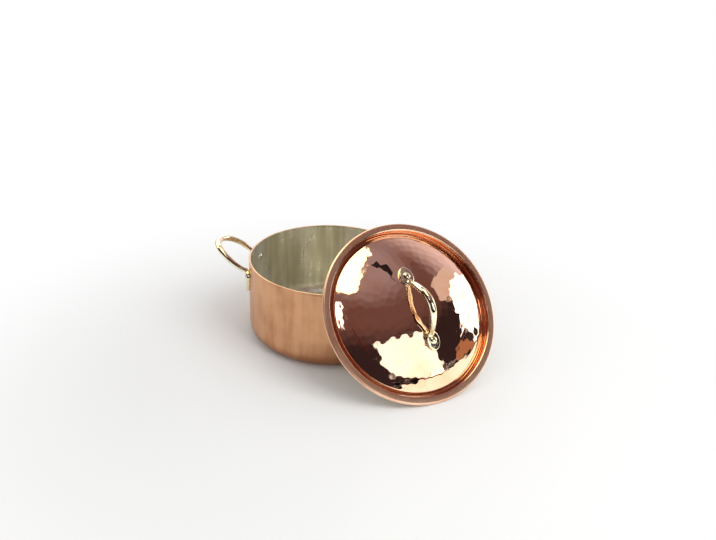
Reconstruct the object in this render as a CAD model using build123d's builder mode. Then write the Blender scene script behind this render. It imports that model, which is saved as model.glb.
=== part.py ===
from build123d import *
import os
from math import asin, cos, degrees, hypot, pi, radians, sin, sqrt, tan

os.makedirs("parts", exist_ok=True)

# A round copper cooking pot with two cast brass side handles, wiped with tin inside,
# and its domed lid, which leans on the pot's rim and stands on the same surface.
# The origin is on the pot's axis at its underside, +Z is up and X runs through the handles.

# Pot body
pot_diameter = 200.0       # outside
pot_height = 98.0
pot_copper = 1.7           # copper sheet
pot_tin = 0.3              # wiped tin lining
pot_corner = 17.0          # outside radius between base and wall
rim_round = 0.6            # softened outer edge of the rim

# Side handle: two feet riveted to the wall, joined by a round bow
foot_spacing = 57.0        # between the two rivets, straight across
foot_thickness = 4.8
foot_head_radius = 7.5     # upper, round end of a foot
foot_tip_radius = 5.0      # lower, narrower end of a foot
foot_tip_drop = 34.0       # from the rim down to the centre of the narrow end
foot_edge_round = 1.6
foot_gap = 0.05            # between a foot and the wall it is drawn down on
bow_root_drop = 12.5       # from the rim down to where the bow leaves the foot
bow_arm_out = 13.0         # a point along the arm: out from the wall,
bow_arm_side = 28.0        # out from the handle's middle,
bow_arm_drop = 6.0         # and down from the rim
bow_shoulder_out = 32.0
bow_shoulder_side = 18.5
bow_shoulder_rise = 6.5
bow_reach = 39.5           # from the wall to the bow's centre line at its middle
bow_rise = 9.5             # from the rim up to the same point
bow_root_diameter = 6.0
bow_grip_diameter = 8.0
bow_root_slope = 0.2       # rise over run where it leaves the foot
bow_stations = 13          # cross-sections along the bow

# Side rivets: a domed head inside the pot, a tail spread in the foot's countersink
rivet_drop = 20.0          # from the rim down to the rivet
rivet_shank_radius = 2.5
rivet_head_radius = 4.5
rivet_head_height = 2.4
rivet_sink_radius = 4.0    # mouth of the countersink
rivet_sink_angle = 82.0
rivet_tail_crown = 0.5     # how far the tail stands proud of the foot
rivet_gap = 0.05           # clearance all round shanks, heads and tails

# Lid sheet, measured on its polished upper side from the rim plane
lid_copper = 1.2
lid_tin = 0.3
lid_crown_radius = 180.0   # dome's radius of curvature
lid_shoulder_radius = 2.6  # where the dome turns down into the groove
lid_shoulder_drop = 4.15   # from the centre of the rolled edge down to the shoulder's centre
lid_groove_radius = 2.2    # round bottom of the groove, upper side
lid_groove_depth = 10.0    # from the centre of the rolled edge down to the bottom of the groove
lid_corner_radius = 2.0    # corner between the groove's wall and the flange
lid_slip_gap = 0.3         # between the groove's wall and the inside of the pot
lid_bead_radius = 2.3      # rolled edge, outside radius of the roll
lid_bead_gap = 0.4         # between the rolled edge and the outside of the pot
lid_bead_turn = 280.0      # how far round the edge is rolled
lid_wire_gap = 0.3         # round the wire that the edge is rolled over

# Lid handle: a cast brass bridge on two oval feet
grip_spacing = 75.4        # between the two rivets
grip_turn = 7.2            # the bridge's turn from the lid's slope line
grip_shift = -1.5          # the handle's middle along the bridge, from the lid's
grip_foot_length = 23.0
grip_foot_width = 16.0
grip_foot_thickness = 3.6
grip_foot_round = 1.2
grip_foot_gap = 0.05
grip_neck_inset = 7.2      # where the bridge leaves a foot, in from the rivet,
grip_neck_rise = -1.0      # and above the middle of the dome
grip_shoulder_inset = 20.2
grip_shoulder_rise = 16.5
grip_top_rise = 25.5       # centre line at the middle of the bridge
grip_neck_diameter = 5.8
grip_middle_diameter = 8.6
grip_stations = 11

# Lid rivets: a domed head on the foot, a flattened tail under the lid
lid_rivet_shank_radius = 2.2
lid_rivet_head_radius = 4.2
lid_rivet_head_height = 2.2
lid_rivet_tail_radius = 4.0
lid_rivet_tail_height = 1.2

# How the lid leans: its normal's direction, and the bearing from the pot to its middle
lean_normal_bearing = -59.0
lean_normal_elevation = 42.6
lean_bearing = -40.1
lean_gap = 0.3             # between the lid and what it leans on
lean_steps = 360           # points tried round the lid,
lean_bow_steps = 40        # and along the bow

# Sizes that follow
pot_radius = pot_diameter / 2
pot_inner_radius = pot_radius - pot_copper - pot_tin
foot_angle = degrees(asin(foot_spacing / 2 / pot_radius))
sides = {"left": -1, "right": 1}
ends = {"front": -1, "back": 1}
grip_names = {-1: "lower", 1: "upper"}

# Centres and angles of the lid sheet's arcs, in its own upright section
lid_wall_radius = pot_inner_radius - lid_slip_gap - lid_copper - lid_tin
groove = (lid_wall_radius - lid_groove_radius, lid_groove_radius - lid_groove_depth)
shoulder_reach = groove[0] - lid_groove_radius - lid_shoulder_radius
shoulder_span = lid_crown_radius - lid_shoulder_radius
shoulder_angle = degrees(asin(shoulder_reach / shoulder_span))
shoulder = (shoulder_reach, -lid_shoulder_drop)
crown_centre = shoulder[1] - shoulder_span * cos(radians(shoulder_angle))
crown_height = crown_centre + lid_crown_radius
flange_top = lid_bead_radius
corner = (lid_wall_radius + lid_corner_radius, flange_top - lid_corner_radius)
bead = (pot_radius + lid_bead_gap + lid_bead_radius, 0)

# The lid's two lowest rings: distance from its axis, height and radius of their section
lid_rings = ((bead[0], bead[1], lid_bead_radius),
             (groove[0], groove[1], lid_groove_radius + lid_copper + lid_tin))


# The plane that holds a frame's normal: its y runs along the normal
def upright(frame):
    return Plane(origin=frame.origin, x_dir=frame.x_dir, z_dir=-frame.y_dir)


def axis_of(frame):
    return Axis(frame.origin, frame.z_dir)


def at_depth(frame, depth):
    return frame.offset(-depth)


# A rivet's frame on the pot's outer wall, looking out along the rivet
def wall_frame(side, end):
    angle = radians(foot_angle) * end
    out = Vector(side * cos(angle), sin(angle), 0)
    origin = out * pot_radius + Vector(0, 0, pot_height - rivet_drop)
    return Plane(origin=origin, x_dir=Vector(0, 0, 1).cross(out), z_dir=out)


# The bow's centre line, from the front foot round to the back one
def bow_points(side):
    root_side = foot_spacing / 2
    root_out = sqrt((pot_radius + foot_thickness / 2) ** 2 - root_side ** 2)
    root = (root_out, root_side, pot_height - bow_root_drop)
    arm = (pot_radius + bow_arm_out, bow_arm_side, pot_height - bow_arm_drop)
    shoulder = (pot_radius + bow_shoulder_out, bow_shoulder_side, pot_height + bow_shoulder_rise)
    middle = (pot_radius + bow_reach, 0, pot_height + bow_rise)
    front = [(side * x, -y, z) for x, y, z in (root, arm, shoulder, middle)]
    back = [(side * x, y, z) for x, y, z in (shoulder, arm, root)]
    return front + back


# The bow leaves its feet outwards and slightly upwards
def bow_tangents(side):
    return (side, 0, bow_root_slope), (-side, 0, -bow_root_slope)


# The arc of a round dome from its rim to the axis, above or below its base
def dome_arc(base, radius, height):
    ball = (radius ** 2 + height ** 2) / (2 * abs(height))
    reach = degrees(asin(radius / ball))
    if height > 0:
        CenterArc((0, base + height - ball), ball, 90 - reach, reach)
    else:
        CenterArc((0, base + height + ball), ball, 270, reach)


# A size that swells smoothly from the ends of a path to its middle
def swell(end_size, middle_size, along):
    return end_size + (middle_size - end_size) * sin(pi * along)


# The lid's frame in the leaning pose: x runs level across it, y up its slope, z out of its dome
def leaning_frame(distance):
    bearing = radians(lean_bearing)
    facing = radians(lean_normal_bearing)
    rise = radians(lean_normal_elevation)
    normal = Vector(cos(rise) * cos(facing), cos(rise) * sin(facing), sin(rise))
    height = max(radius * cos(rise) - low * sin(rise) + roll for radius, low, roll in lid_rings)
    origin = Vector(distance * cos(bearing), distance * sin(bearing), height)
    return Plane(origin=origin, x_dir=Vector(-sin(facing), cos(facing), 0), z_dir=normal)


# The least gap between the lid's rolled edge or groove and what it leans on
def leaning_gap(distance):
    frame = leaning_frame(distance)
    least = pot_diameter
    for ring_radius, ring_height, roll in lid_rings:
        for step in range(lean_steps):
            turn = 2 * pi * step / lean_steps
            point = frame.from_local_coords(
                Vector(ring_radius * cos(turn), ring_radius * sin(turn), ring_height))
            beside = hypot(point.X, point.Y) - pot_radius
            above = point.Z - pot_height
            rim_gap = hypot(max(beside, 0), max(above, 0)) if beside > 0 or above > 0 else max(beside, above)
            bow_gap = min((point - centre).length for centre in bow_centres) - bow_grip_diameter / 2
            least = min(least, rim_gap - roll, bow_gap - roll)
    return least


# The outline of one layer of the pot, from the base's middle out to the rim and back
def pot_outline(inset, thickness):
    outer = pot_radius - inset
    inner = outer - thickness
    turn = (pot_radius - pot_corner, pot_corner)
    Line((0, inset), (turn[0], inset))
    CenterArc(turn, pot_corner - inset, 270, 90)
    Line((outer, pot_corner), (outer, pot_height))
    Line((outer, pot_height), (inner, pot_height))
    Line((inner, pot_height), (inner, pot_corner))
    CenterArc(turn, pot_corner - inset - thickness, 270, 90)
    Line((turn[0], inset + thickness), (0, inset + thickness))
    Line((0, inset + thickness), (0, inset))


# The lid sheet's line at a depth below its polished side, from the middle to the flange's end
def lid_line(depth, flange_end):
    CenterArc((0, crown_centre), lid_crown_radius - depth, 90 - shoulder_angle, shoulder_angle)
    CenterArc(shoulder, lid_shoulder_radius - depth, 0, 90 - shoulder_angle)
    collar = shoulder[0] + lid_shoulder_radius - depth
    Line((collar, shoulder[1]), (collar, groove[1]))
    CenterArc(groove, lid_groove_radius + depth, 180, 180)
    wall = lid_wall_radius + depth
    Line((wall, groove[1]), (wall, corner[1]))
    CenterArc(corner, lid_corner_radius - depth, 90, 90)
    Line((corner[0], flange_top - depth), (flange_end, flange_top - depth))


# The lid stands as near to the pot as the gap allows
with BuildLine() as right_bow:
    Spline(*bow_points(sides["right"]), tangents=bow_tangents(sides["right"]))
bow_centres = [right_bow.line @ (step / lean_bow_steps) for step in range(lean_bow_steps + 1)]
nearest = 0
farthest = 2 * pot_diameter
while farthest - nearest > lean_gap / 100:
    middle = (nearest + farthest) / 2
    if leaning_gap(middle) < lean_gap:
        nearest = middle
    else:
        farthest = middle
lid_frame = leaning_frame(farthest)
grip_way = radians(grip_turn)
grip_plane = Plane(origin=lid_frame.origin, z_dir=lid_frame.z_dir,
                   x_dir=lid_frame.x_dir * cos(grip_way) + lid_frame.y_dir * sin(grip_way))


# A point given in the lid's frame
def on_lid(x, y, z):
    return lid_frame.from_local_coords(Vector(x, y, z))


# A rivet's frame on the lid's polished side: y runs along the bridge
def grip_frame(end):
    side = grip_shift + end * grip_spacing / 2
    lean = asin(side / lid_crown_radius)
    origin = grip_plane.from_local_coords(
        Vector(0, side, crown_centre + lid_crown_radius * cos(lean)))
    normal = grip_plane.z_dir * cos(lean) + grip_plane.y_dir * sin(lean)
    return Plane(origin=origin, x_dir=grip_plane.x_dir, z_dir=normal)


# The bridge's centre line, from its lower neck to its upper one
def grip_points():
    neck = grip_spacing / 2 - grip_neck_inset
    bend = grip_spacing / 2 - grip_shoulder_inset
    points = [(-neck, grip_neck_rise), (-bend, grip_shoulder_rise), (0, grip_top_rise),
              (bend, grip_shoulder_rise), (neck, grip_neck_rise)]
    return [grip_plane.from_local_coords(Vector(0, grip_shift + y, crown_height + z)) for y, z in points]


# Pot body: base, corner and wall in one raised sheet
with BuildPart() as pot_body:
    with BuildSketch(Plane.XZ):
        with BuildLine():
            pot_outline(0, pot_copper)
        make_face()
    revolve(axis=Axis.Z)
    rim_edges = pot_body.edges().filter_by(GeomType.CIRCLE).group_by(Axis.Z)[-1]
    fillet(rim_edges.sort_by(SortBy.RADIUS)[-1], rim_round)
    for side in sides.values():
        for end in ends.values():
            with Locations(wall_frame(side, end)):
                Hole(rivet_shank_radius + rivet_gap, depth=2 * pot_copper)
pot_body.part.label = "pot_body"
export_step(pot_body.part, "parts/pot_body.step")

# Tin lining: wiped over the whole inside, up to the rim
with BuildPart() as pot_tin_lining:
    with BuildSketch(Plane.XZ):
        with BuildLine():
            pot_outline(pot_copper, pot_tin)
        make_face()
    revolve(axis=Axis.Z)
    for side in sides.values():
        for end in ends.values():
            with Locations(at_depth(wall_frame(side, end), pot_copper)):
                Hole(rivet_shank_radius + rivet_gap, depth=4 * pot_tin)
pot_tin_lining.part.label = "pot_tin_lining"
export_step(pot_tin_lining.part, "parts/pot_tin_lining.step")

# Side handles
for side_name, side in sides.items():
    with BuildPart() as side_handle:
        for end in ends.values():
            foot_plane = wall_frame(side, end)
            foot_shift = rivet_drop - foot_tip_drop
            with BuildSketch(foot_plane):
                Circle(foot_head_radius)
                with Locations((0, foot_shift)):
                    Circle(foot_tip_radius)
                make_hull()
            extrude(amount=foot_head_radius, both=True)
        with Locations((0, 0, pot_height / 2)):
            Cylinder(pot_radius + foot_thickness, 2 * pot_height, mode=Mode.INTERSECT)
            Cylinder(pot_radius + foot_gap, 2 * pot_height, mode=Mode.SUBTRACT)
        foot_faces = side_handle.faces().filter_by(GeomType.CYLINDER)
        outer_faces = foot_faces.filter_by(lambda f: f.radius > pot_radius + foot_thickness / 2)
        fillet(outer_faces.edges(), foot_edge_round)
        with BuildLine(mode=Mode.PRIVATE) as bow:
            Spline(*bow_points(side), tangents=bow_tangents(side))
        for station in range(bow_stations):
            along = station / (bow_stations - 1)
            way = bow.line % along
            rise = Vector(0, 0, 1) - way * way.Z
            with BuildSketch(Plane(origin=bow.line @ along, x_dir=rise, z_dir=way)):
                Circle(swell(bow_root_diameter, bow_grip_diameter, along) / 2)
        loft()
        with Locations((0, 0, pot_height / 2)):
            Cylinder(pot_radius + foot_gap, 2 * pot_height, mode=Mode.SUBTRACT)
        for end in ends.values():
            with Locations(wall_frame(side, end).offset(foot_thickness)):
                CounterSinkHole(rivet_shank_radius + rivet_gap, rivet_sink_radius,
                                depth=2 * foot_thickness, counter_sink_angle=rivet_sink_angle)
    side_handle.part.label = f"{side_name}_side_handle"
    export_step(side_handle.part, f"parts/{side_name}_side_handle.step")

# Side rivets, set radially through foot, wall and lining
wall_curve = pot_inner_radius - sqrt(pot_inner_radius ** 2 - rivet_head_radius ** 2)
head_seat = -pot_copper - pot_tin - wall_curve - rivet_gap
for side_name, side in sides.items():
    for end_name, end in ends.items():
        frame = wall_frame(side, end)
        tail = rivet_sink_radius - rivet_gap
        tail_depth = (tail - rivet_shank_radius) / tan(radians(rivet_sink_angle / 2))
        with BuildPart() as side_rivet:
            with BuildSketch(upright(frame)):
                with BuildLine():
                    dome_arc(foot_thickness, tail, rivet_tail_crown)
                    Polyline((tail, foot_thickness),
                             (rivet_shank_radius, foot_thickness - tail_depth),
                             (rivet_shank_radius, head_seat),
                             (rivet_head_radius, head_seat))
                    dome_arc(head_seat, rivet_head_radius, -rivet_head_height)
                    Line((0, head_seat - rivet_head_height), (0, foot_thickness + rivet_tail_crown))
                make_face()
            revolve(axis=axis_of(frame))
        side_rivet.part.label = f"{side_name}_handle_{end_name}_rivet"
        export_step(side_rivet.part, f"parts/{side_name}_handle_{end_name}_rivet.step")

# Lid body: dome, collar, groove and flange in one sheet, its edge rolled under
curl_end = radians(90 - lid_bead_turn)
curl_inner = lid_bead_radius - lid_copper
with BuildPart() as lid_body:
    with BuildSketch(upright(lid_frame)):
        with BuildLine():
            lid_line(0, bead[0])
            CenterArc(bead, lid_bead_radius, 90, -lid_bead_turn)
            Line((bead[0] + lid_bead_radius * cos(curl_end), lid_bead_radius * sin(curl_end)),
                 (bead[0] + curl_inner * cos(curl_end), curl_inner * sin(curl_end)))
            CenterArc(bead, curl_inner, 90, -lid_bead_turn)
            lid_line(lid_copper, bead[0])
            Line((0, crown_height - lid_copper), (0, crown_height))
        make_face()
    revolve(axis=axis_of(lid_frame))
    for end in ends.values():
        with Locations(grip_frame(end)):
            Hole(lid_rivet_shank_radius + rivet_gap, depth=2 * lid_copper)
lid_body.part.label = "lid_body"
export_step(lid_body.part, "parts/lid_body.step")

# Lid tin lining: the whole underside, out to where the flange rests on the rim
with BuildPart() as lid_tin_lining:
    with BuildSketch(upright(lid_frame)):
        with BuildLine():
            lid_line(lid_copper, pot_radius)
            Line((pot_radius, flange_top - lid_copper), (pot_radius, flange_top - lid_copper - lid_tin))
            lid_line(lid_copper + lid_tin, pot_radius)
            Line((0, crown_height - lid_copper - lid_tin), (0, crown_height - lid_copper))
        make_face()
    revolve(axis=axis_of(lid_frame))
    for end in ends.values():
        with Locations(at_depth(grip_frame(end), lid_copper)):
            Hole(lid_rivet_shank_radius + rivet_gap, depth=4 * lid_tin)
lid_tin_lining.part.label = "lid_tin_lining"
export_step(lid_tin_lining.part, "parts/lid_tin_lining.step")

# Rim wire: the steel wire inside the rolled edge
with BuildPart() as lid_rim_wire:
    with BuildSketch(upright(lid_frame)):
        with Locations(bead):
            Circle(curl_inner - lid_wire_gap)
    revolve(axis=axis_of(lid_frame))
lid_rim_wire.part.label = "lid_rim_wire"
export_step(lid_rim_wire.part, "parts/lid_rim_wire.step")

# Lid handle
with BuildPart() as lid_handle:
    for end in ends.values():
        with BuildSketch(grip_frame(end)):
            Ellipse(grip_foot_width / 2, grip_foot_length / 2)
        extrude(amount=grip_foot_length / 2, both=True)
    with Locations(on_lid(0, 0, crown_centre)):
        Sphere(lid_crown_radius + grip_foot_thickness, mode=Mode.INTERSECT)
        Sphere(lid_crown_radius + grip_foot_gap, mode=Mode.SUBTRACT)
    foot_faces = lid_handle.faces().filter_by(GeomType.SPHERE)
    top_faces = foot_faces.filter_by(lambda f: f.radius > lid_crown_radius + grip_foot_thickness / 2)
    fillet(top_faces.edges(), grip_foot_round)
    with BuildLine(mode=Mode.PRIVATE) as bridge:
        Spline(*grip_points())
    for station in range(grip_stations):
        along = station / (grip_stations - 1)
        way = bridge.line % along
        with BuildSketch(Plane(origin=bridge.line @ along, x_dir=grip_plane.x_dir, z_dir=way)):
            Circle(swell(grip_neck_diameter, grip_middle_diameter, along) / 2)
    loft()
    with Locations(on_lid(0, 0, crown_centre)):
        Sphere(lid_crown_radius + grip_foot_gap, mode=Mode.SUBTRACT)
    for end in ends.values():
        with Locations(grip_frame(end).offset(grip_foot_thickness)):
            Hole(lid_rivet_shank_radius + rivet_gap, depth=2 * grip_foot_thickness)
lid_handle.part.label = "lid_handle"
export_step(lid_handle.part, "parts/lid_handle.step")

# Lid rivets
dome_curve = lid_crown_radius - sqrt(lid_crown_radius ** 2 - lid_rivet_head_radius ** 2)
tail_seat = -lid_copper - lid_tin - dome_curve - rivet_gap
top_seat = grip_foot_thickness + rivet_gap
for end, end_name in grip_names.items():
    frame = grip_frame(end)
    with BuildPart() as lid_rivet:
        with BuildSketch(upright(frame)):
            with BuildLine():
                dome_arc(top_seat, lid_rivet_head_radius, lid_rivet_head_height)
                Polyline((lid_rivet_head_radius, top_seat),
                         (lid_rivet_shank_radius, top_seat),
                         (lid_rivet_shank_radius, tail_seat),
                         (lid_rivet_tail_radius, tail_seat))
                dome_arc(tail_seat, lid_rivet_tail_radius, -lid_rivet_tail_height)
                Line((0, tail_seat - lid_rivet_tail_height), (0, top_seat + lid_rivet_head_height))
            make_face()
        revolve(axis=axis_of(frame))
    lid_rivet.part.label = f"lid_handle_{end_name}_rivet"
    export_step(lid_rivet.part, f"parts/lid_handle_{end_name}_rivet.step")
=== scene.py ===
import math

import bmesh
import bpy
import numpy as np
from mathutils import Matrix, Vector, noise


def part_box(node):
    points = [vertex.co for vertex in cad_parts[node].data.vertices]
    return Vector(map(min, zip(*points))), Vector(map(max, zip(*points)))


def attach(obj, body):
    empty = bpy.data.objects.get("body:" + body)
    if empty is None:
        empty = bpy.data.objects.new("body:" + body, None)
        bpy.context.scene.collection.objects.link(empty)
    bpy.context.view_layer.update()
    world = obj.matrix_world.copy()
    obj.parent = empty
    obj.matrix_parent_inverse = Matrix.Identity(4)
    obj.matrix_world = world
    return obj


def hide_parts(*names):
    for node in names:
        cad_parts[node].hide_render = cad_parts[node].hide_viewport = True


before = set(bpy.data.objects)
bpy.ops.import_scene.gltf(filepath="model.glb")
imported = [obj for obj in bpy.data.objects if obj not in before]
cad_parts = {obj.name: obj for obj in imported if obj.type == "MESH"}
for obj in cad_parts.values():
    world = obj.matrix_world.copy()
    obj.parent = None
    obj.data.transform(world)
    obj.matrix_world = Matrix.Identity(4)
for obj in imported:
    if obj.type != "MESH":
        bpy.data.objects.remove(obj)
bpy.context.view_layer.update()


# Places read from the frame

def nodePoints(name):
    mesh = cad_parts[name].data
    flat = np.zeros(len(mesh.vertices) * 3, np.float32)
    mesh.vertices.foreach_get("co", flat)
    return flat.reshape(-1, 3).astype(float)


def nodeMiddle(name):
    low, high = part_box(name)
    return (low + high) / 2


def planeNormal(name):
    # a ring is thinnest along the normal of the plane that it lies in
    offsets = nodePoints(name) - np.array(nodeMiddle(name))
    directions = np.linalg.eigh(offsets.T @ offsets)[1]
    normal = Vector(directions[:, 0])
    return normal if normal.z > 0 else -normal


lidMiddle = nodeMiddle("lid_rim_wire")
lidNormal = planeNormal("lid_rim_wire")
lidAcross = Vector((0, 0, 1)).cross(lidNormal).normalized()
lidPlace = Matrix((lidAcross, lidNormal.cross(lidAcross), lidNormal)).transposed().to_4x4()
lidPlace.translation = lidMiddle

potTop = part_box("pot_body")[1]
potRadius = potTop.x
potHeight = potTop.z


# Wiring of node trees

class Wire:
    # one output of a node: plain operators on it add the maths nodes
    def __init__(self, bench, socket):
        self.bench = bench
        self.socket = socket

    def __add__(self, other):
        return self.bench.maths("ADD", self, other)

    def __sub__(self, other):
        return self.bench.maths("SUBTRACT", self, other)

    def __rsub__(self, other):
        return self.bench.maths("SUBTRACT", other, self)

    def __mul__(self, other):
        return self.bench.maths("MULTIPLY", self, other)

    def __truediv__(self, other):
        return self.bench.maths("DIVIDE", self, other)

    __radd__ = __add__
    __rmul__ = __mul__

    def out(self, name):
        return Wire(self.bench, self.socket.node.outputs[name])


class Bench:
    # a node tree that is being wired up
    def __init__(self, tree):
        self.tree = tree

    def add(self, kind, settings=None, values=None, output=0):
        node = self.tree.nodes.new(kind)
        for name, value in (settings or {}).items():
            setattr(node, name, value)
        for key, value in (values or {}).items():
            self.feed(node.inputs[key], value)
        return Wire(self, node.outputs[output])

    def feed(self, socket, value):
        if isinstance(value, Wire):
            self.tree.links.new(value.socket, socket)
        else:
            socket.default_value = value

    def maths(self, operation, first, second=0.0):
        return self.add("ShaderNodeMath", {"operation": operation}, {0: first, 1: second})

    def vector(self, operation, first, second=(0, 0, 0), output="Vector"):
        return self.add("ShaderNodeVectorMath", {"operation": operation}, {0: first, 1: second}, output)

    def scaled(self, vector, factor):
        return self.add("ShaderNodeVectorMath", {"operation": "SCALE"}, {0: vector, "Scale": factor})

    def smooth(self, value, low, high):
        return self.add("ShaderNodeMapRange", {"interpolation_type": "SMOOTHSTEP"},
                        {"Value": value, "From Min": low, "From Max": high})

    def place(self, stretch=(1, 1, 1), shift=(0, 0, 0)):
        spot = self.add("ShaderNodeTexCoord", output="Object")
        return self.add("ShaderNodeMapping", None, {"Vector": spot, "Scale": stretch, "Location": shift})

    def cloud(self, spot, size, detail=2.0, roughness=0.5):
        return self.add("ShaderNodeTexNoise", None,
                        {"Vector": spot, "Scale": 1 / size, "Detail": detail, "Roughness": roughness})

    def tint(self, factor, first, second):
        return self.add("ShaderNodeMix", {"data_type": "RGBA"}, {0: factor, 6: first, 7: second}, 2)

    def bump(self, height, distance, under=None):
        values = {"Height": height, "Distance": distance}
        if under:
            values["Normal"] = under
        return self.add("ShaderNodeBump", None, values)


def shade(red, green, blue):
    return (red, green, blue, 1.0)


def metal(name, values, build):
    material = bpy.data.materials.new(name)
    material.use_nodes = True
    bench = Bench(material.node_tree)
    shader = material.node_tree.nodes["Principled BSDF"]
    for key, value in {"Metallic": 1.0, **values, **build(bench)}.items():
        bench.feed(shader.inputs[key], value)
    return material


# Metals

satinSet = {"pale": shade(0.69, 0.38, 0.205), "deep": shade(0.49, 0.22, 0.11), "roughness": 0.25,
            "anisotropy": 0.4, "streakSize": 0.012, "streakStretch": 0.12, "streakDepth": 0.00012,
            "blotchSize": 0.035, "brushSize": 0.022, "brushDepth": 0.00002, "deepBandHeight": 0.022,
            "deepBandWeight": 0.35, "deepFrom": 0.38, "deepTo": 0.72}


def satinCopper(bench):
    # upright streaks and blotches, a deeper, redder band at the foot of the wall, and fine brushing round the
    # wall
    streaks = bench.cloud(bench.place((1, 1, satinSet["streakStretch"])), satinSet["streakSize"], 3.0, 0.6)
    blotches = bench.cloud(bench.place(), satinSet["blotchSize"], 3.0)
    brushing = bench.cloud(bench.place((1, 1, 26)), satinSet["brushSize"], 2.0, 0.7)
    height = bench.add("ShaderNodeSeparateXYZ", None, {0: bench.place()}, "Z")
    # the lowest two centimetres of the wall are coloured deeper and redder, mixed with the streaks and
    # blotches
    lowDown = 1 - bench.smooth(height, 0.002, satinSet["deepBandHeight"])
    deepening = bench.smooth(streaks * 0.5 + blotches * 0.5 + lowDown * satinSet["deepBandWeight"],
                        satinSet["deepFrom"], satinSet["deepTo"])
    streakBump = bench.bump(streaks, satinSet["streakDepth"])
    return {"Base Color": bench.tint(deepening, satinSet["pale"], satinSet["deep"]),
            "Roughness": satinSet["roughness"] + 0.10 * streaks + 0.06 * brushing,
            "Normal": bench.bump(brushing, satinSet["brushDepth"], streakBump)}


mirrorSet = {"bright": shade(0.95, 0.65, 0.48), "warm": shade(0.89, 0.54, 0.36), "roughness": 0.035,
             "tarnishSize": 0.045, "tarnishFrom": 0.42, "tarnishTo": 0.68, "polishSize": 0.006,
             "polishRoughness": 0.05, "scratchSize": 0.012, "scratchDepth": 0.000004,
             "flangeFrom": 0.0965, "flangeBlend": 0.002, "flangeRoughness": 0.30}


def mirrorCopper(bench):
    # a polished dome and groove, and a duller flange round them
    tarnish = bench.cloud(bench.place(), mirrorSet["tarnishSize"], 4.0, 0.6)
    warmth = bench.smooth(tarnish, mirrorSet["tarnishFrom"], mirrorSet["tarnishTo"])
    polish = bench.smooth(bench.cloud(bench.place(), mirrorSet["polishSize"], 3.0, 0.6), 0.45, 0.75)
    scratches = bench.cloud(bench.place((30, 3, 3)), mirrorSet["scratchSize"], 2.0)
    sideways = bench.vector("CROSS_PRODUCT", bench.vector("SUBTRACT", bench.place(), lidMiddle), lidNormal)
    reach = bench.vector("LENGTH", sideways, output="Value")
    flange = bench.smooth(reach, mirrorSet["flangeFrom"], mirrorSet["flangeFrom"] + mirrorSet["flangeBlend"])
    return {"Base Color": bench.tint(warmth, mirrorSet["bright"], mirrorSet["warm"]),
            "Roughness": (mirrorSet["roughness"] + mirrorSet["polishRoughness"] * polish
                          + mirrorSet["flangeRoughness"] * flange),
            "Normal": bench.bump(scratches, mirrorSet["scratchDepth"])}


tinSet = {"pale": shade(0.88, 0.86, 0.77), "dull": shade(0.58, 0.54, 0.40), "metallic": 0.8,
          "roughness": 0.20, "dullRoughness": 0.13, "smearSize": 0.016, "smearDepth": 0.00012,
          "patchSize": 0.03, "grainSize": 0.0025, "grainDepth": 0.00002, "dullFrom": 0.36, "dullTo": 0.66}


def wipedTin(stretch):
    # smears drawn out along the way in which the tin was wiped
    def build(bench):
        smears = bench.cloud(bench.place(stretch), tinSet["smearSize"], 2.0, 0.5)
        patches = bench.cloud(bench.place(), tinSet["patchSize"], 3.0)
        grains = bench.cloud(bench.place(), tinSet["grainSize"], 2.0)
        dull = bench.smooth(smears * 0.8 + patches * 0.2, tinSet["dullFrom"], tinSet["dullTo"])
        grainBump = bench.bump(grains, tinSet["grainDepth"])
        return {"Base Color": bench.tint(dull, tinSet["pale"], tinSet["dull"]),
                "Roughness": tinSet["roughness"] + tinSet["dullRoughness"] * dull + 0.04 * grains,
                "Normal": bench.bump(smears, tinSet["smearDepth"], grainBump)}
    return build


brassSet = {"bright": shade(0.95, 0.88, 0.68), "olive": shade(0.84, 0.75, 0.49), "roughness": 0.08,
            "skinSize": 0.008, "oliveFrom": 0.40, "oliveTo": 0.65, "castDepth": 0.00025,
            "rubSize": 0.003, "rubRoughness": 0.12}


def castBrass(bench):
    # the uneven skin of a casting under the polish
    skin = bench.cloud(bench.place(), brassSet["skinSize"], 3.0)
    rub = bench.smooth(bench.cloud(bench.place(), brassSet["rubSize"], 2.0), 0.45, 0.8)
    olive = bench.smooth(skin, brassSet["oliveFrom"], brassSet["oliveTo"])
    return {"Base Color": bench.tint(olive, brassSet["bright"], brassSet["olive"]),
            "Roughness": brassSet["roughness"] + brassSet["rubRoughness"] * rub,
            "Normal": bench.bump(skin, brassSet["castDepth"])}


rivetSet = {"copper": shade(0.80, 0.50, 0.34), "tin": shade(0.80, 0.78, 0.70), "tinnedTo": 0.0985,
            "tinBlend": 0.0005, "roughness": 0.16, "blowSize": 0.0022, "blowDepth": 0.00015}


def rivetCopper(bench):
    # the heads inside the pot were tinned with the lining
    spot = bench.add("ShaderNodeSeparateXYZ", None, {0: bench.place()})
    reach = bench.maths("SQRT", spot.out("X") * spot.out("X") + spot.out("Y") * spot.out("Y"))
    tinned = 1 - bench.smooth(reach, rivetSet["tinnedTo"] - rivetSet["tinBlend"],
                              rivetSet["tinnedTo"] + rivetSet["tinBlend"])
    blows = bench.cloud(bench.place(), rivetSet["blowSize"], 2.0)
    return {"Base Color": bench.tint(tinned, rivetSet["copper"], rivetSet["tin"]),
            "Roughness": rivetSet["roughness"] + 0.16 * blows,
            "Normal": bench.bump(blows, rivetSet["blowDepth"])}


steelSet = {"clean": shade(0.46, 0.44, 0.42), "grimy": shade(0.30, 0.27, 0.24), "grimeSize": 0.004,
            "roughness": 0.35}


def drawnSteel(bench):
    grime = bench.cloud(bench.place(), steelSet["grimeSize"], 3.0)
    return {"Base Color": bench.tint(grime, steelSet["clean"], steelSet["grimy"]),
            "Roughness": steelSet["roughness"] + 0.2 * grime}


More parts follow.
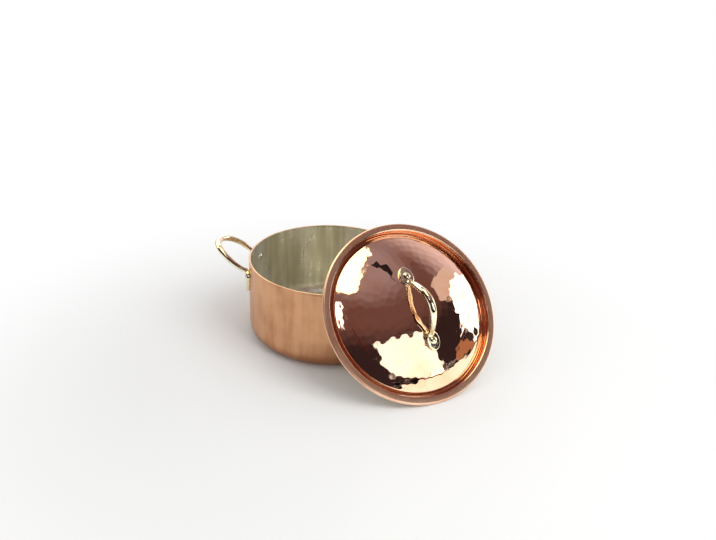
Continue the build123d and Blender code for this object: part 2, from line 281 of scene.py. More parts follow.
satinMetal = metal("satin_copper", {"Anisotropic": satinSet["anisotropy"]}, satinCopper)
mirrorMetal = metal("mirror_copper", {}, mirrorCopper)
wallTin = metal("wiped_tin", {"Metallic": tinSet["metallic"]}, wipedTin((1, 1, 0.12)))
lidTin = metal("wiped_tin_lid", {"Metallic": tinSet["metallic"]}, wipedTin((1, 0.3, 1)))
brassMetal = metal("cast_brass", {}, castBrass)
rivetMetal = metal("rivet_copper", {}, rivetCopper)
steelMetal = metal("drawn_steel", {}, drawnSteel)
print("metals done")


# Turned sheets: a section turned round Z

def arc(centre, radius, start, end, steps):
    angles = [math.radians(start + (end - start) * step / steps) for step in range(steps + 1)]
    return [(centre[0] + radius * math.cos(a), centre[1] + radius * math.sin(a)) for a in angles]


def run(first, last, steps):
    return [(first[0] + (last[0] - first[0]) * step / steps, first[1] + (last[1] - first[1]) * step / steps)
            for step in range(steps + 1)]


def turned(section, segments):
    # the ring at a point on the axis is one vertex
    verts = []
    faces = []
    rings = []
    for radius, height in section:
        around = 1 if radius < 1e-7 else segments
        rings.append((len(verts), around))
        for step in range(around):
            angle = 2 * math.pi * step / segments
            verts.append((radius * math.cos(angle), radius * math.sin(angle), height))
    for (first, firstCount), (last, lastCount) in zip(rings, rings[1:]):
        for step in range(segments):
            here = step
            after = (step + 1) % segments
            if firstCount == 1 and lastCount == 1:
                continue
            if firstCount == 1:
                faces.append((first, last + here, last + after))
            elif lastCount == 1:
                faces.append((first + here, last, first + after))
            else:
                faces.append((first + here, last + here, last + after, first + after))
    return verts, faces


def disc(rings, reach, surface):
    # a crowned disc of evenly spread small triangles: ring k has 6k vertices
    verts = [(0, 0, surface(0)[1])]
    faces = []
    for ring in range(1, rings + 1):
        radius, height = surface(reach * ring / rings)
        for step in range(6 * ring):
            angle = 2 * math.pi * step / (6 * ring)
            verts.append((radius * math.cos(angle), radius * math.sin(angle), height))

    def vertex(ring, step):
        return 1 + 3 * ring * (ring - 1) + step % (6 * ring) if ring else 0

    for ring in range(rings):
        for sector in range(6):
            for step in range(ring + 1):
                inner = vertex(ring, sector * ring + step)
                outer = vertex(ring + 1, sector * (ring + 1) + step)
                beside = vertex(ring + 1, sector * (ring + 1) + step + 1)
                faces.append((inner, outer, beside))
                if step < ring:
                    faces.append((inner, beside, vertex(ring, sector * ring + step + 1)))
    return verts, faces


def meshOf(name, shapes, weld=1e-6):
    # joins the shapes, welds what meets and turns every face outwards
    work = bmesh.new()
    for verts, faces in shapes:
        made = [work.verts.new(v) for v in verts]
        for face in faces:
            work.faces.new([made[index] for index in face])
    bmesh.ops.remove_doubles(work, verts=work.verts, dist=weld)
    bmesh.ops.recalc_face_normals(work, faces=work.faces)
    mesh = bpy.data.meshes.new(name)
    work.to_mesh(mesh)
    work.free()
    return mesh


def newPiece(name, mesh, material, body, nodeNames, sharpAngle=35):
    mesh.name = name
    if not mesh.materials:
        mesh.materials.append(material)
    mesh.polygons.foreach_set("use_smooth", [True] * len(mesh.polygons))
    mesh.set_sharp_from_angle(angle=math.radians(sharpAngle))
    piece = bpy.data.objects.new(name, mesh)
    bpy.context.scene.collection.objects.link(piece)
    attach(piece, body)
    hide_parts(*nodeNames)


# Pot: the copper sheet and the tin inside it

potSet = {"copper": 0.0017, "tin": 0.0003, "corner": 0.017, "rimRound": 0.0006,
          "tinEdge": 0.00012, "segments": 420, "wallSteps": 24, "inset": 0.00001}


def potSection(inset, thickness, outerEdge, innerEdge):
    outer = potRadius - potSet["inset"] - inset
    inner = outer - thickness
    top = potHeight - potSet["inset"]
    turn = (potRadius - potSet["corner"], potSet["corner"])
    turnRadius = outer - turn[0]
    low = potSet["corner"] - turnRadius
    return (run((0, low), (turn[0], low), 8)
            + arc(turn, turnRadius, 270, 360, 14)[1:]
            + run((outer, turn[1]), (outer, top - outerEdge), potSet["wallSteps"])[1:]
            + arc((outer - outerEdge, top - outerEdge), outerEdge, 0, 90, 4)[1:]
            + arc((inner + innerEdge, top - innerEdge), innerEdge, 90, 180, 3)
            + run((inner, top - innerEdge), (inner, turn[1]), potSet["wallSteps"])[1:]
            + arc(turn, turnRadius - thickness, 0, -90, 12)[1:]
            + run((turn[0], low + thickness), (0, low + thickness), 8)[1:])


potShape = turned(potSection(0, potSet["copper"], potSet["rimRound"], potSet["tinEdge"]), potSet["segments"])
newPiece("copper_pot", meshOf("copper_pot", [potShape]), satinMetal, "pot", ["pot_body"])
tinShape = turned(potSection(potSet["copper"], potSet["tin"], potSet["tinEdge"] / 2, potSet["tinEdge"] / 2),
                  potSet["segments"])
newPiece("tin_inside", meshOf("tin_inside", [tinShape]), wallTin, "pot", ["pot_tin_lining"])
print("pot done")


# Lid: sheet with a struck dome, groove, flange and rolled edge, and the tin under it

lidSet = {"copper": 0.0012, "tin": 0.0003, "crownRadius": 0.18, "shoulderRadius": 0.0026,
          "shoulderDrop": 0.00415, "grooveRadius": 0.0022, "grooveDepth": 0.010, "wall": 0.0962,
          "cornerRadius": 0.002, "beadRadius": 0.00228, "beadMiddle": 0.1027, "beadTurn": 280,
          "tinReach": 0.1, "rings": 104, "tinRings": 72, "underSteps": 18, "hammerFade": 0.004}

groove = (lidSet["wall"] - lidSet["grooveRadius"], lidSet["grooveRadius"] - lidSet["grooveDepth"])
shoulder = (groove[0] - lidSet["grooveRadius"] - lidSet["shoulderRadius"], -lidSet["shoulderDrop"])
shoulderSpan = lidSet["crownRadius"] - lidSet["shoulderRadius"]
domeAngle = math.asin(shoulder[0] / shoulderSpan)
domeLength = domeAngle * lidSet["crownRadius"]
crownMiddle = shoulder[1] - shoulderSpan * math.cos(domeAngle)
lidCorner = (lidSet["wall"] + lidSet["cornerRadius"], lidSet["beadRadius"] - lidSet["cornerRadius"])
bead = (lidSet["beadMiddle"], 0)


def domeAt(depth):
    # the dome's surface at a depth below the polished side, by the length along the sheet
    def surface(length):
        angle = length / lidSet["crownRadius"]
        radius = lidSet["crownRadius"] - depth
        return radius * math.sin(angle), crownMiddle + radius * math.cos(angle)
    return surface


def lidBorder(depth, end):
    # from the dome's edge over the shoulder, through the groove and over the flange
    wall = lidSet["wall"] + depth
    collar = shoulder[0] + lidSet["shoulderRadius"] - depth
    top = lidSet["beadRadius"] - depth
    return (arc(shoulder, lidSet["shoulderRadius"] - depth, 90 - math.degrees(domeAngle), 0, 6)
            + run((collar, shoulder[1]), (collar, groove[1]), 3)[1:]
            + arc(groove, lidSet["grooveRadius"] + depth, 180, 360, 12)[1:]
            + run((wall, groove[1]), (wall, lidCorner[1]), 3)[1:]
            + arc(lidCorner, lidSet["cornerRadius"] - depth, 180, 90, 5)[1:]
            + run((lidCorner[0], top), (end, top), 3)[1:])


def lidSheet():
    curlInner = lidSet["beadRadius"] - lidSet["copper"]
    curlEnd = 90 - lidSet["beadTurn"]
    under = [domeAt(lidSet["copper"])(domeLength * step / lidSet["underSteps"])
             for step in range(lidSet["underSteps"], -1, -1)]
    border = (lidBorder(0, bead[0]) + arc(bead, lidSet["beadRadius"], 90, curlEnd, 18)[1:]
              + arc(bead, curlInner, curlEnd, 90, 9)
              + lidBorder(lidSet["copper"], bead[0])[::-1] + under[1:-1] + [(0, under[-1][1])])
    return [disc(lidSet["rings"], domeLength, domeAt(0)), turned(border, 6 * lidSet["rings"])]


def lidLining():
    upper = [domeAt(lidSet["copper"])(domeLength * step / lidSet["underSteps"])
             for step in range(lidSet["underSteps"] + 1)]
    depth = lidSet["copper"] + lidSet["tin"]
    border = ([(0, upper[0][1])] + upper[1:-1] + lidBorder(lidSet["copper"], lidSet["tinReach"])
              + lidBorder(depth, lidSet["tinReach"])[::-1])
    return [disc(lidSet["tinRings"], domeLength, domeAt(depth)), turned(border, 6 * lidSet["tinRings"])]


# Hammer blows: each one sets a shallow round dish in the sheet, and the deepest dish shows

hammerSet = {"Blow Spacing": 0.0083, "Dish Radius": 0.135, "Dish Depth": 0.00016, "Weakest Blow": 0.45,
             "Scatter": 0.0011, "Rows": 12, "Rounding": 2, "Sway": 0.00012, "Sway Scale": 28.0, "Seed": 7}
inputKinds = {float: "NodeSocketFloat", int: "NodeSocketInt"}


def newTree(name, sizes, material):
    tree = bpy.data.node_groups.new(name, "GeometryNodeTree")
    tree.interface.new_socket(name="Geometry", in_out="INPUT", socket_type="NodeSocketGeometry")
    tree.interface.new_socket(name="Geometry", in_out="OUTPUT", socket_type="NodeSocketGeometry")
    for label, value in sizes.items():
        tree.interface.new_socket(name=label, in_out="INPUT", socket_type=inputKinds[type(value)])
    bench = Bench(tree)
    entry = bench.add("NodeGroupInput")

    def finish(geometry):
        real = bench.add("GeometryNodeRealizeInstances", None, {"Geometry": geometry})
        done = bench.add("GeometryNodeSetMaterial", None, {"Geometry": real, "Material": material})
        bench.feed(tree.nodes.new("NodeGroupOutput").inputs["Geometry"], done)

    return tree, bench, entry, finish


def grown(mesh, tree, sizes):
    # runs the tree on the mesh and gives the result as a plain mesh
    holder = bpy.data.objects.new("holder", mesh)
    bpy.context.scene.collection.objects.link(holder)
    modifier = holder.modifiers.new("tree", "NODES")
    modifier.node_group = tree
    for item in tree.interface.items_tree:
        if item.in_out == "INPUT" and item.name in sizes:
            modifier[item.identifier] = sizes[item.name]
    evaluated = holder.evaluated_get(bpy.context.evaluated_depsgraph_get())
    result = bpy.data.meshes.new_from_object(evaluated)
    holder.modifiers.remove(modifier)
    bpy.data.objects.remove(holder)
    return result


def hammerTree(name, material):
    # blows in rings round the dome's middle: ring k has 6k of them, a little out of place
    sizes = {**hammerSet, "Side": 1.0}
    tree, bench, entry, finish = newTree(name, sizes, material)
    index = bench.add("GeometryNodeInputIndex")
    rows = entry.out("Rows")
    count = 1 + 3 * (rows * (rows + 1))
    row = bench.maths("CEIL", (bench.maths("SQRT", 9 + 12 * index) - 3) / 6 - 0.001)
    inRow = index - 1 - 3 * (row * (row - 1))
    angle = inRow * (math.pi / 3) / row + row * 2.4
    length = row * entry.out("Blow Spacing")
    outwards = bench.maths("SINE", length / lidSet["crownRadius"]) * lidSet["crownRadius"]
    upwards = bench.maths("COSINE", length / lidSet["crownRadius"]) * lidSet["crownRadius"] + crownMiddle
    spot = bench.add("ShaderNodeCombineXYZ", None, {"X": bench.maths("COSINE", angle) * outwards,
                                                    "Y": bench.maths("SINE", angle) * outwards, "Z": upwards})
    slip = bench.add("FunctionNodeRandomValue", {"data_type": "FLOAT_VECTOR"},
                     {0: (-1, -1, -0.3), 1: (1, 1, 0.3), "Seed": entry.out("Seed")})
    moved = bench.scaled(slip, entry.out("Scatter"))
    place = bench.vector("ADD", spot, moved)
    blows = bench.add("GeometryNodePoints", None, {"Count": count, "Position": place})

    position = bench.add("GeometryNodeInputPosition")
    start = bench.tree.nodes.new("GeometryNodeRepeatInput")
    end = bench.tree.nodes.new("GeometryNodeRepeatOutput")
    start.pair_with_output(end)
    bench.feed(start.inputs["Iterations"], count)
    bench.feed(start.inputs["Geometry"], entry.out("Geometry"))
    turnNumber = Wire(bench, start.outputs["Iteration"])
    blow = bench.add("GeometryNodeSampleIndex", {"data_type": "FLOAT_VECTOR"},
                     {"Geometry": blows, "Value": position, "Index": turnNumber})
    apart = bench.vector("DISTANCE", position, blow, "Value")
    weight = bench.add("FunctionNodeRandomValue", {"data_type": "FLOAT"},
                       {2: entry.out("Weakest Blow"), 3: 1.0, "ID": turnNumber, "Seed": entry.out("Seed")}, 1)
    dish = apart * apart / (2 * entry.out("Dish Radius")) - weight * entry.out("Dish Depth")
    soFar = bench.add("GeometryNodeInputNamedAttribute", {"data_type": "FLOAT"}, {"Name": "dish"})
    stored = bench.add("GeometryNodeStoreNamedAttribute", {"data_type": "FLOAT", "domain": "POINT"},
                       {"Geometry": Wire(bench, start.outputs["Geometry"]), "Name": "dish",
                        "Value": bench.maths("MINIMUM", soFar, dish)})
    bench.feed(end.inputs["Geometry"], stored)

    softened = bench.add("GeometryNodeBlurAttribute", {"data_type": "FLOAT"},
                         {"Value": soFar, "Iterations": entry.out("Rounding")})
    sway = bench.add("ShaderNodeTexNoise", None,
                     {"Vector": position, "Scale": entry.out("Sway Scale"), "Detail": 1.0})
    struck = bench.add("GeometryNodeInputNamedAttribute", {"data_type": "FLOAT"}, {"Name": "struck"})
    drop = bench.maths("MINIMUM", softened - entry.out("Sway") * sway, 0.0) * struck * entry.out("Side")
    normal = bench.add("GeometryNodeInputNormal")
    finish(bench.add("GeometryNodeSetPosition", None, {
        "Geometry": Wire(bench, end.outputs["Geometry"]), "Offset": bench.scaled(normal, drop)}))
    return tree


def struckMesh(name, shapes, tree, side):
    # the disc's vertices take the blows, fading out over the last few millimetres before the groove
    mesh = meshOf(name, shapes)
    edge = domeAt(0)(domeLength)[0]
    flat = np.zeros(len(mesh.vertices) * 3, np.float32)
    mesh.vertices.foreach_get("co", flat)
    points = flat.reshape(-1, 3)
    normals = np.array([v.normal for v in mesh.vertices])
    reach = np.hypot(points[:, 0], points[:, 1])
    facing = normals[:, 2] * side > 0.3
    struck = np.clip((edge - reach) / lidSet["hammerFade"], 0, 1) * facing
    mesh.attributes.new("struck", "FLOAT", "POINT").data.foreach_set("value", struck.astype(np.float32))
    mesh.attributes.new("dish", "FLOAT", "POINT").data.foreach_set("value", np.ones(len(points), np.float32))
    result = grown(mesh, tree, {**hammerSet, "Side": float(side)})
    for label in ("struck", "dish"):
        result.attributes.remove(result.attributes[label])
    result.transform(lidPlace)
    return result


lidMesh = struckMesh("copper_lid", lidSheet(), hammerTree("hammer_copper", mirrorMetal), 1)
newPiece("copper_lid", lidMesh, mirrorMetal, "lid", ["lid_body"])
liningMesh = struckMesh("tin_under_lid", lidLining(), hammerTree("hammer_tin", lidTin), -1)
newPiece("tin_under_lid", liningMesh, lidTin, "lid", ["lid_tin_lining"])
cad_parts["lid_rim_wire"].data.materials.clear()
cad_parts["lid_rim_wire"].data.materials.append(steelMetal)
print("lid done:", len(lidMesh.polygons), "faces")


# Cast brass handles: the frame's forms, with the joints between arms and feet blended as castings are

castSet = {"voxel": 0.00045, "overallRounds": 6, "neckRounds": 60, "neckReach": 0.0075, "plugLift": 0.0002}


def plugsFor(places, sizes):
    # cylinders that fill the rivets' holes in the feet, a little short of both faces
    depth = sizes["footThickness"] - sizes["plugShort"]
    return [(place @ Matrix.Translation((0, 0, depth / 2 + castSet["plugLift"])), sizes["plugRadius"], depth)
            for place in places]


def castForm(nodeName, necks, plugs):
    # the node's form as one skin, its holes plugged, and soft where an arm meets a foot
    work = bmesh.new()
    work.from_mesh(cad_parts[nodeName].data)
    bmesh.ops.remove_doubles(work, verts=work.verts, dist=2e-6)
    for place, radius, depth in plugs:
        bmesh.ops.create_cone(work, cap_ends=True, segments=32, radius1=radius, radius2=radius, depth=depth,
                              matrix=place)
    mesh = bpy.data.meshes.new(nodeName + "_cast")
    work.to_mesh(mesh)
    work.free()
    holder = bpy.data.objects.new("holder", mesh)
    bpy.context.scene.collection.objects.link(holder)
    remesh = holder.modifiers.new("remesh", "REMESH")
    remesh.mode = "VOXEL"
    remesh.voxel_size = castSet["voxel"]
    smooth = holder.modifiers.new("smooth", "SMOOTH")
    smooth.iterations = castSet["overallRounds"]
    solid = bpy.data.meshes.new_from_object(holder.evaluated_get(bpy.context.evaluated_depsgraph_get()))
    bpy.data.objects.remove(holder)
    holder = bpy.data.objects.new("holder", solid)
    bpy.context.scene.collection.objects.link(holder)
    group = holder.vertex_groups.new(name="neck")
    for vertex in solid.vertices:
        near = min((vertex.co - neck).length for neck in necks)
        if near < castSet["neckReach"]:
            group.add([vertex.index], 1 - (near / castSet["neckReach"]) ** 2, "REPLACE")
    blend = holder.modifiers.new("blend", "SMOOTH")
    blend.vertex_group = "neck"
    blend.iterations = castSet["neckRounds"]
    result = bpy.data.meshes.new_from_object(holder.evaluated_get(bpy.context.evaluated_depsgraph_get()))
    bpy.data.objects.remove(holder)
    return result


def sideRivetPlace(name):
    # the rivet's place on the pot's outer wall, its Z pointing out along the rivet
    middle = nodeMiddle(name)
    out = Vector((middle.x, middle.y, 0)).normalized()
    place = out.to_track_quat("Z", "Y").to_matrix().to_4x4()
    place.translation = out * potRadius + Vector((0, 0, middle.z))
    return place


def lidRivetPlace(name):
    # the rivet's place on the dome, its Z pointing straight away from the dome's own middle
    domeMiddle = lidPlace @ Vector((0, 0, crownMiddle))
    out = (nodeMiddle(name) - domeMiddle).normalized()
    place = out.to_track_quat("Z", "Y").to_matrix().to_4x4()
    place.translation = domeMiddle + out * lidSet["crownRadius"]
    return place


sideSet = {"footThickness": 0.0048, "plugRadius": 0.0043, "plugShort": 0.0006, "neckDrop": 0.0125}
sideNames = ("left", "right")
for sideName in sideNames:
    places = [sideRivetPlace(f"{sideName}_handle_{end}_rivet") for end in ("front", "back")]
    necks = []
    for place in places:
        neck = place @ Vector((0, 0, sideSet["footThickness"]))
        neck.z = potHeight - sideSet["neckDrop"]
        necks.append(neck)
    handleName = f"{sideName}_side_handle"
    handleMesh = castForm(handleName, necks, plugsFor(places, sideSet))
    newPiece(f"{sideName}_handle", handleMesh, brassMetal, "pot", [handleName], 60)

gripSet = {"footThickness": 0.0036, "plugRadius": 0.003, "plugShort": 0.0005, "neckSide": 0.0300,
           "neckHeight": 0.0235}
gripPlaces = [lidRivetPlace(f"lid_handle_{end}_rivet") for end in ("lower", "upper")]
gripFeet = [lidPlace.inverted() @ place.translation for place in gripPlaces]
gripMiddle = (gripFeet[0] + gripFeet[1]) / 2
gripNecks = []
for foot in gripFeet:
    along = foot - gripMiddle
    along.z = 0
    neck = gripMiddle + along.normalized() * gripSet["neckSide"]
    neck.z = gripSet["neckHeight"]
    gripNecks.append(lidPlace @ neck)
bridgeMesh = castForm("lid_handle", gripNecks, plugsFor(gripPlaces, gripSet))
newPiece("bridge_handle", bridgeMesh, brassMetal, "lid", ["lid_handle"], 60)
print("handles done")


# Rivets: one turned form, set along each rivet's own line

rivetSizes = {"Turn Scatter": 3.1, "Size Scatter": 0.02, "Seed": 3, "Size Seed": 5}
beatSet = {"depth": 0.00012, "size": 0.0021, "segments": 40}


def rivetTree(name, form, material):
    tree, bench, entry, finish = newTree(name, rivetSizes, material)
    shape = bench.add("GeometryNodeObjectInfo", None, {"Object": form}, "Geometry")
    axis = bench.add("GeometryNodeInputNamedAttribute", {"data_type": "FLOAT_VECTOR"}, {"Name": "axis"})
    facing = bench.add("FunctionNodeAlignRotationToVector", {"axis": "Z"}, {"Vector": axis})
    spin = bench.add("FunctionNodeRandomValue", {"data_type": "FLOAT"},
                     {2: 0.0, 3: entry.out("Turn Scatter"), "Seed": entry.out("Seed")}, 1)
    around = bench.add("FunctionNodeAxisAngleToRotation", None, {"Axis": (0, 0, 1), "Angle": spin})
    rotation = bench.add("FunctionNodeRotateRotation", {"rotation_space": "LOCAL"}, {0: facing, 1: around})
    shrink = bench.add("FunctionNodeRandomValue", {"data_type": "FLOAT"},
                       {2: 0.0, 3: 1.0, "Seed": entry.out("Size Seed")}, 1)
    size = 1 - entry.out("Size Scatter") * shrink
    scale = bench.add("ShaderNodeCombineXYZ", None, {"X": size, "Y": size, "Z": 1.0})
    finish(bench.add("GeometryNodeInstanceOnPoints", None, {
        "Points": entry.out("Geometry"), "Instance": shape, "Rotation": rotation, "Scale": scale}))
    return tree


def beaten(mesh):
    # small flats left by the hammer on a rivet's ends
    for vertex in mesh.vertices:
        blow = noise.noise(vertex.co / beatSet["size"]) * 0.5 + 0.5
        vertex.co -= vertex.normal * beatSet["depth"] * blow
    return mesh


def rivetPiece(name, section, places, material, body, nodeNames):
    plain = meshOf(name, [turned(section, beatSet["segments"])])
    form = bpy.data.objects.new(name + "_form", beaten(plain))
    bpy.context.scene.collection.objects.link(form)
    points = bpy.data.meshes.new(name)
    points.from_pydata([place.translation for place in places], [], [])
    axes = np.array([place.to_3x3() @ Vector((0, 0, 1)) for place in places], np.float32)
    points.attributes.new("axis", "FLOAT_VECTOR", "POINT").data.foreach_set("vector", axes.ravel())
    mesh = grown(points, rivetTree(name, form, material), rivetSizes)
    bpy.data.objects.remove(form)
    newPiece(name, mesh, material, body, nodeNames, 50)


def domeSection(base, radius, height, steps):
    # from the rim of a domed end to its middle
    ball = (radius ** 2 + height ** 2) / (2 * abs(height))
    reach = math.degrees(math.asin(radius / ball))
    if height > 0:
        return arc((0, base + height - ball), ball, 90 - reach, 90, steps)
    return arc((0, base + height + ball), ball, 270 + reach, 270, steps)


# A round head inside the pot, and a tail hammered into the foot's countersink
sideRivetSet = {"shank": 0.0025, "head": 0.0045, "headHeight": 0.0024, "headSeat": -0.00215,
                "sink": 0.00395, "sinkDepth": 0.00167, "crown": 0.0005}
tailTop = sideSet["footThickness"]
sinkFloor = tailTop - sideRivetSet["sinkDepth"]
sideHead = domeSection(sideRivetSet["headSeat"], sideRivetSet["head"], -sideRivetSet["headHeight"], 10)
sideSection = (sideHead[::-1]
               + [(sideRivetSet["shank"], sideRivetSet["headSeat"]), (sideRivetSet["shank"], sinkFloor)]
               + domeSection(tailTop, sideRivetSet["sink"], sideRivetSet["crown"], 8))
sideRivets = [f"{side}_handle_{end}_rivet" for side in sideNames for end in ("front", "back")]
rivetPiece("side_rivets", sideSection, [sideRivetPlace(name) for name in sideRivets], rivetMetal, "pot",
           sideRivets)

# A round head on the foot, and a flatter tail under the lid
lidRivetSet = {"shank": 0.0022, "head": 0.0042, "headHeight": 0.0022, "headGap": 0.00005, "tail": 0.004,
               "tailHeight": 0.0012, "tailSeat": -0.0016}
headSeat = gripSet["footThickness"] + lidRivetSet["headGap"]
lidSection = (domeSection(lidRivetSet["tailSeat"], lidRivetSet["tail"], -lidRivetSet["tailHeight"], 8)[::-1]
              + [(lidRivetSet["shank"], lidRivetSet["tailSeat"]), (lidRivetSet["shank"], headSeat)]
              + domeSection(headSeat, lidRivetSet["head"], lidRivetSet["headHeight"], 10))
lidRivets = ["lid_handle_lower_rivet", "lid_handle_upper_rivet"]
rivetPiece("bridge_rivets", lidSection, gripPlaces, brassMetal, "lid", lidRivets)
print("rivets done")


# Studio: floor, key light, and a surround that only the metal sees

def stageMesh(name, verts, faces, material):
    mesh = bpy.data.meshes.new(name)
    mesh.from_pydata(verts, [], faces)
    mesh.materials.append(material)
    piece = bpy.data.objects.new(name, mesh)
    bpy.context.scene.collection.objects.link(piece)
    return piece


def onlyReflected(piece):
    piece.visible_camera = False
    piece.visible_diffuse = False
    piece.visible_shadow = False
    piece.visible_transmission = False
    piece.visible_volume_scatter = False


def glowing(name, colour, strength):
    material = bpy.data.materials.new(name)
    material.use_nodes = True
    tree = material.node_tree
    tree.nodes.clear()
    bench = Bench(tree)
    build = colour(bench) if callable(colour) else colour
    light = bench.add("ShaderNodeEmission", None, {"Color": build, "Strength": strength})
    bench.feed(tree.nodes.new("ShaderNodeOutputMaterial").inputs["Surface"], light)
    return material


def towards(azimuth, elevation, distance):
    azimuth, elevation = math.radians(azimuth), math.radians(elevation)
    return lidMiddle + distance * Vector((math.cos(elevation) * math.cos(azimuth),
                                          math.cos(elevation) * math.sin(azimuth), math.sin(elevation)))


# A pale floor that takes the shadow, and turns plain white away from the object
floorSet = {"halfWidth": 6.0, "colour": shade(0.93, 0.93, 0.92), "paleTo": 0.20, "whiteFrom": 0.52,
            "shift": (-0.03, 0.12, 0)}
wide = floorSet["halfWidth"]
floorMaterial = bpy.data.materials.new("floor_white")
floorMaterial.use_nodes = True
floorTree = floorMaterial.node_tree
floorShader = floorTree.nodes["Principled BSDF"]
floorBench = Bench(floorTree)
for label, value in {"Base Color": floorSet["colour"], "Roughness": 0.9, "Specular IOR Level": 0.1}.items():
    floorBench.feed(floorShader.inputs[label], value)
floorReach = floorBench.vector("LENGTH", floorBench.place(shift=floorSet["shift"]), output="Value")
floorMix = floorBench.add("ShaderNodeMixShader", None, {
    0: floorBench.smooth(floorReach, floorSet["paleTo"], floorSet["whiteFrom"]),
    1: Wire(floorBench, floorShader.outputs["BSDF"]), 2: floorBench.add("ShaderNodeEmission")})
floorBench.feed(floorTree.nodes["Material Output"].inputs["Surface"], floorMix)
floorCorners = [(-wide, -wide, 0), (wide, -wide, 0), (wide, wide, 0), (-wide, wide, 0)]
stageMesh("floor", floorCorners, [(0, 1, 2, 3)], floorMaterial)

# Cards that the lid mirrors. Outlines are azimuth and elevation in degrees, seen from the lid's middle,
# and a card that covers a brighter one stands a little nearer
windowSet = {
    "front": {"glow": 1.75, "tint": shade(1.0, 1.0, 0.95), "distance": 2.6,
              "outline": [(-77, 30), (-60, 31), (-45, 31), (-31, 30), (-30, 20), (-25, 8), (-21, 0),
                          (-21, -2), (-45, -1), (-63, 3), (-70, 12)]},
    "right": {"glow": 2.4, "tint": shade(0.96, 0.98, 1.0), "distance": 2.6,
              "outline": [(10, 21), (14, 27), (22, 30), (30, 29), (38, 23), (44, 14), (42, 9), (32, 1),
                          (24, -2), (13, -2), (12, 3), (9, 8), (2, 7), (5, 12), (11, 16)]},
    "rightEdge": {"glow": 0.75, "tint": shade(1.0, 0.84, 0.78), "distance": 2.6,
                  "outline": [(5, 37), (13, 43), (24, 41), (36, 36), (42, 28), (38, 24), (30, 29.5),
                              (22, 30.5), (14, 27.5), (9, 30)]},
    "rightPost": {"glow": 0.04, "tint": shade(1.0, 0.7, 0.7), "distance": 2.5,
                  "outline": [(14, 4), (17, 5), (21, 0), (19, -2), (15, -1)]},
    "stool": {"glow": 0.5, "tint": shade(0.9, 0.42, 0.22), "distance": 2.6,
              "outline": [(-9, -2), (-9, 2), (-3, 5), (6, 5), (10, 1), (11, -2)]},
    "beam": {"glow": 0.02, "tint": shade(1.0, 0.8, 0.8), "distance": 2.5,
             "outline": [(-12, 70.0), (8, 71), (20, 72.5), (37, 78.4), (60, 82.4), (90, 83.4), (90, 83.7),
                         (60, 82.7), (37, 78.65), (20, 72.85), (8, 71.5), (-12, 70.5)]},
    "streak": {"glow": 0.10, "tint": shade(0.9, 0.16, 0.12), "distance": 2.6,
               "outline": [(-99, 40), (-86, 31), (-80, 23), (-81.5, 22), (-88, 29), (-99, 38)]},
    "back": {"glow": 1.9, "tint": shade(1.0, 0.99, 0.93), "distance": 2.6,
             "outline": [(88, 8), (88, 44), (120, 50), (150, 50), (176, 44), (176, 8)]},
    "curtain": {"glow": 0.06, "tint": shade(0.9, 0.14, 0.12), "distance": 2.6,
                "outline": [(-118, 36), (-106, 30), (-92, 18), (-84, 6), (-88, 2), (-100, 12), (-118, 26)]},
    "skylight": {"glow": 3.6, "tint": shade(1.0, 0.95, 0.60), "distance": 2.6,
                 "outline": [(-105, 72), (-112, 66), (-140, 62), (-180, 60), (150, 58), (122, 61), (100, 66),
                             (92, 72), (92, 81), (130, 86), (-160, 86), (-112, 81)]},
    "left": {"glow": 3.0, "tint": shade(1.0, 0.99, 1.0), "distance": 2.6,
             "outline": [(-125, 57), (-117, 55), (-110, 46), (-107, 40), (-112, 40), (-119, 47)]},
}
for windowName, facts in windowSet.items():
    corners = [towards(azimuth, elevation, facts["distance"]) for azimuth, elevation in facts["outline"]]
    middle = sum(corners, Vector()) / len(corners)
    fan = [(len(corners), step, (step + 1) % len(corners)) for step in range(len(corners))]
    onlyReflected(stageMesh("window_" + windowName, corners + [middle], fan,
                            glowing("glow_" + windowName, facts["tint"], facts["glow"])))


roomSet = {"radius": 3.0, "steps": 32, "segments": 48, "pinkBearing": 75,
           "wall": shade(0.034, 0.020, 0.022), "ceiling": shade(0.165, 0.085, 0.078),
           "overhead": shade(0.38, 0.30, 0.34), "pinkWall": shade(0.95, 0.80, 0.86)}


def roomColour(bench):
    # dark walls, a brown ceiling that pales overhead, and a pink wall on the right
    spot = bench.add("ShaderNodeTexCoord", output="Object")
    ray = bench.vector("NORMALIZE", spot)
    up = bench.add("ShaderNodeSeparateXYZ", None, {0: ray}, "Z")
    bearing = math.radians(roomSet["pinkBearing"])
    right = bench.vector("DOT_PRODUCT", ray, (math.cos(bearing), math.sin(bearing), 0), "Value")
    colour = bench.tint(bench.smooth(up, 0.42, 0.70), roomSet["wall"], roomSet["ceiling"])
    colour = bench.tint(bench.smooth(up, 0.80, 1.0), colour, roomSet["overhead"])
    return bench.tint(bench.smooth(right, 0.35, 0.85), colour, roomSet["pinkWall"])


roomSection = arc((0, 0), roomSet["radius"], -90, 90, roomSet["steps"])
roomVerts, roomFaces = turned(roomSection, roomSet["segments"])
onlyReflected(stageMesh("room", roomVerts, roomFaces, glowing("room_walls", roomColour, 1.0)))

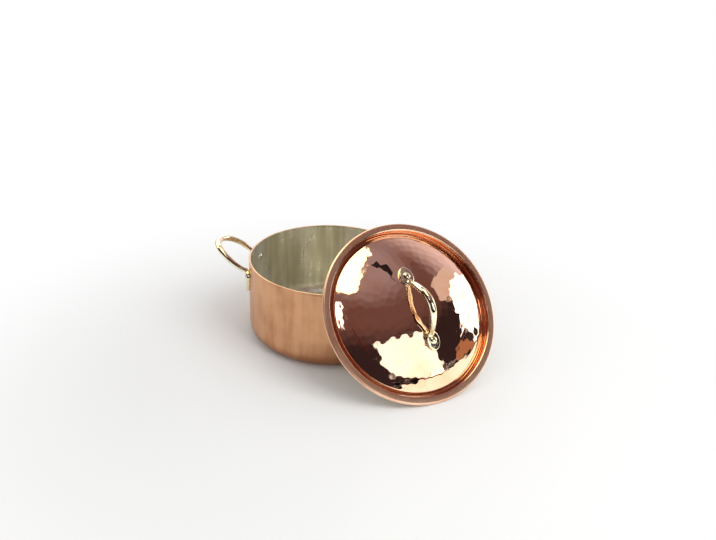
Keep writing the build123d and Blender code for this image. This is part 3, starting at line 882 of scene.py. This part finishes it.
# What the edge of the dome mirrors below the horizon: bright ground near the lid, dark ground beyond it,
# and the lower ends of the cards. Outlines are azimuth in degrees and distance from the lid's middle
lowSet = {
    "cloth": {"glow": 1.5, "tint": shade(1.0, 0.97, 0.88), "height": 0.0002,
              "outline": [(-100, 0.30), (-75, 0.34), (-50, 0.42), (-20, 0.50), (10, 0.60), (50, 0.60),
                          (50, 0.13), (10, 0.13), (-30, 0.13), (-70, 0.12), (-100, 0.14)]},
    "beyond": {"glow": 1.0, "tint": shade(0.006, 0.005, 0.005), "height": 0.0003,
               "outline": [(-125, 0.36), (-100, 0.30), (-75, 0.34), (-50, 0.42), (-20, 0.50), (10, 0.60),
                           (50, 0.60), (50, 2.5), (10, 2.5), (-20, 2.5), (-50, 2.5), (-80, 2.5),
                           (-125, 2.5)]},
    "frontFoot": {"glow": 2.3, "tint": shade(1.0, 1.0, 0.95), "height": 0.0006,
                  "outline": [(-46, 2.4), (-33, 0.95), (-21, 0.70), (-21, 2.4)]},
    "stoolFoot": {"glow": 0.5, "tint": shade(0.9, 0.42, 0.22), "height": 0.0006,
                  "outline": [(-9, 2.4), (-9, 0.75), (11, 0.75), (11, 2.4)]},
    "rightFoot": {"glow": 3.2, "tint": shade(0.96, 0.98, 1.0), "height": 0.0006,
                  "outline": [(12, 2.4), (14, 1.0), (35, 1.0), (35, 2.4)]},
}
for lowName, facts in lowSet.items():
    drop = Vector((0, 0, facts["height"] - lidMiddle.z))
    corners = [towards(azimuth, 0, distance) + drop for azimuth, distance in facts["outline"]]
    onlyReflected(stageMesh("low_" + lowName, corners, [tuple(range(len(corners)))],
                            glowing("glow_" + lowName, facts["tint"], facts["glow"])))

keySet = {"azimuth": -30, "elevation": 48, "distance": 1.7, "size": 1.1, "watts": 13.5}
key = bpy.data.lights.new("key", "AREA")
key.shape = "SQUARE"
key.size = keySet["size"]
key.energy = keySet["watts"]
keyObject = bpy.data.objects.new("key", key)
bpy.context.scene.collection.objects.link(keyObject)
keyObject.location = towards(keySet["azimuth"], keySet["elevation"], keySet["distance"])
keyObject.rotation_euler = (keyObject.location - lidMiddle).to_track_quat("Z", "Y").to_euler()
keyObject.visible_glossy = False

# The sky shows as plain white, and lights the object at a lower level
skySet = {"seen": 1.0, "lighting": 0.70}
world = bpy.data.worlds.new("studio")
world.use_nodes = True
skyBench = Bench(world.node_tree)
ray = skyBench.add("ShaderNodeLightPath", output="Is Camera Ray")
seen = skyBench.maths("MINIMUM", ray + ray.out("Is Glossy Ray") + ray.out("Is Transmission Ray"), 1.0)
sky = world.node_tree.nodes["Background"]
skyBench.feed(sky.inputs["Color"], shade(1.0, 1.0, 1.0))
skyBench.feed(sky.inputs["Strength"], seen * (skySet["seen"] - skySet["lighting"]) + skySet["lighting"])
bpy.context.scene.world = world
bpy.context.scene.view_settings.view_transform = "Standard"
print("studio done")


# Camera: where the photograph was taken from

cameraSet = {"place": (0.09197, -0.84798, 0.50076), "bearing": 4.0, "elevation": 26.17, "roll": 2.62,
             "lens": 38.94, "sensor": 36.0}
bearing, elevation, roll = (math.radians(cameraSet[key]) for key in ("bearing", "elevation", "roll"))
ahead = Vector((-math.sin(bearing) * math.cos(elevation), math.cos(bearing) * math.cos(elevation),
                -math.sin(elevation)))
level = Vector((math.cos(bearing), math.sin(bearing), 0))
upright = level.cross(ahead)
right = level * math.cos(roll) + upright * math.sin(roll)
above = upright * math.cos(roll) - level * math.sin(roll)
cameraData = bpy.data.cameras.new("camera")
cameraData.lens = cameraSet["lens"]
cameraData.sensor_width = cameraSet["sensor"]
cameraData.clip_end = 50
camera = bpy.data.objects.new("camera", cameraData)
bpy.context.scene.collection.objects.link(camera)
turn = Matrix((right, above, -ahead)).transposed().to_4x4()
camera.matrix_world = Matrix.Translation(cameraSet["place"]) @ turn
bpy.context.scene.camera = camera
print("camera done")
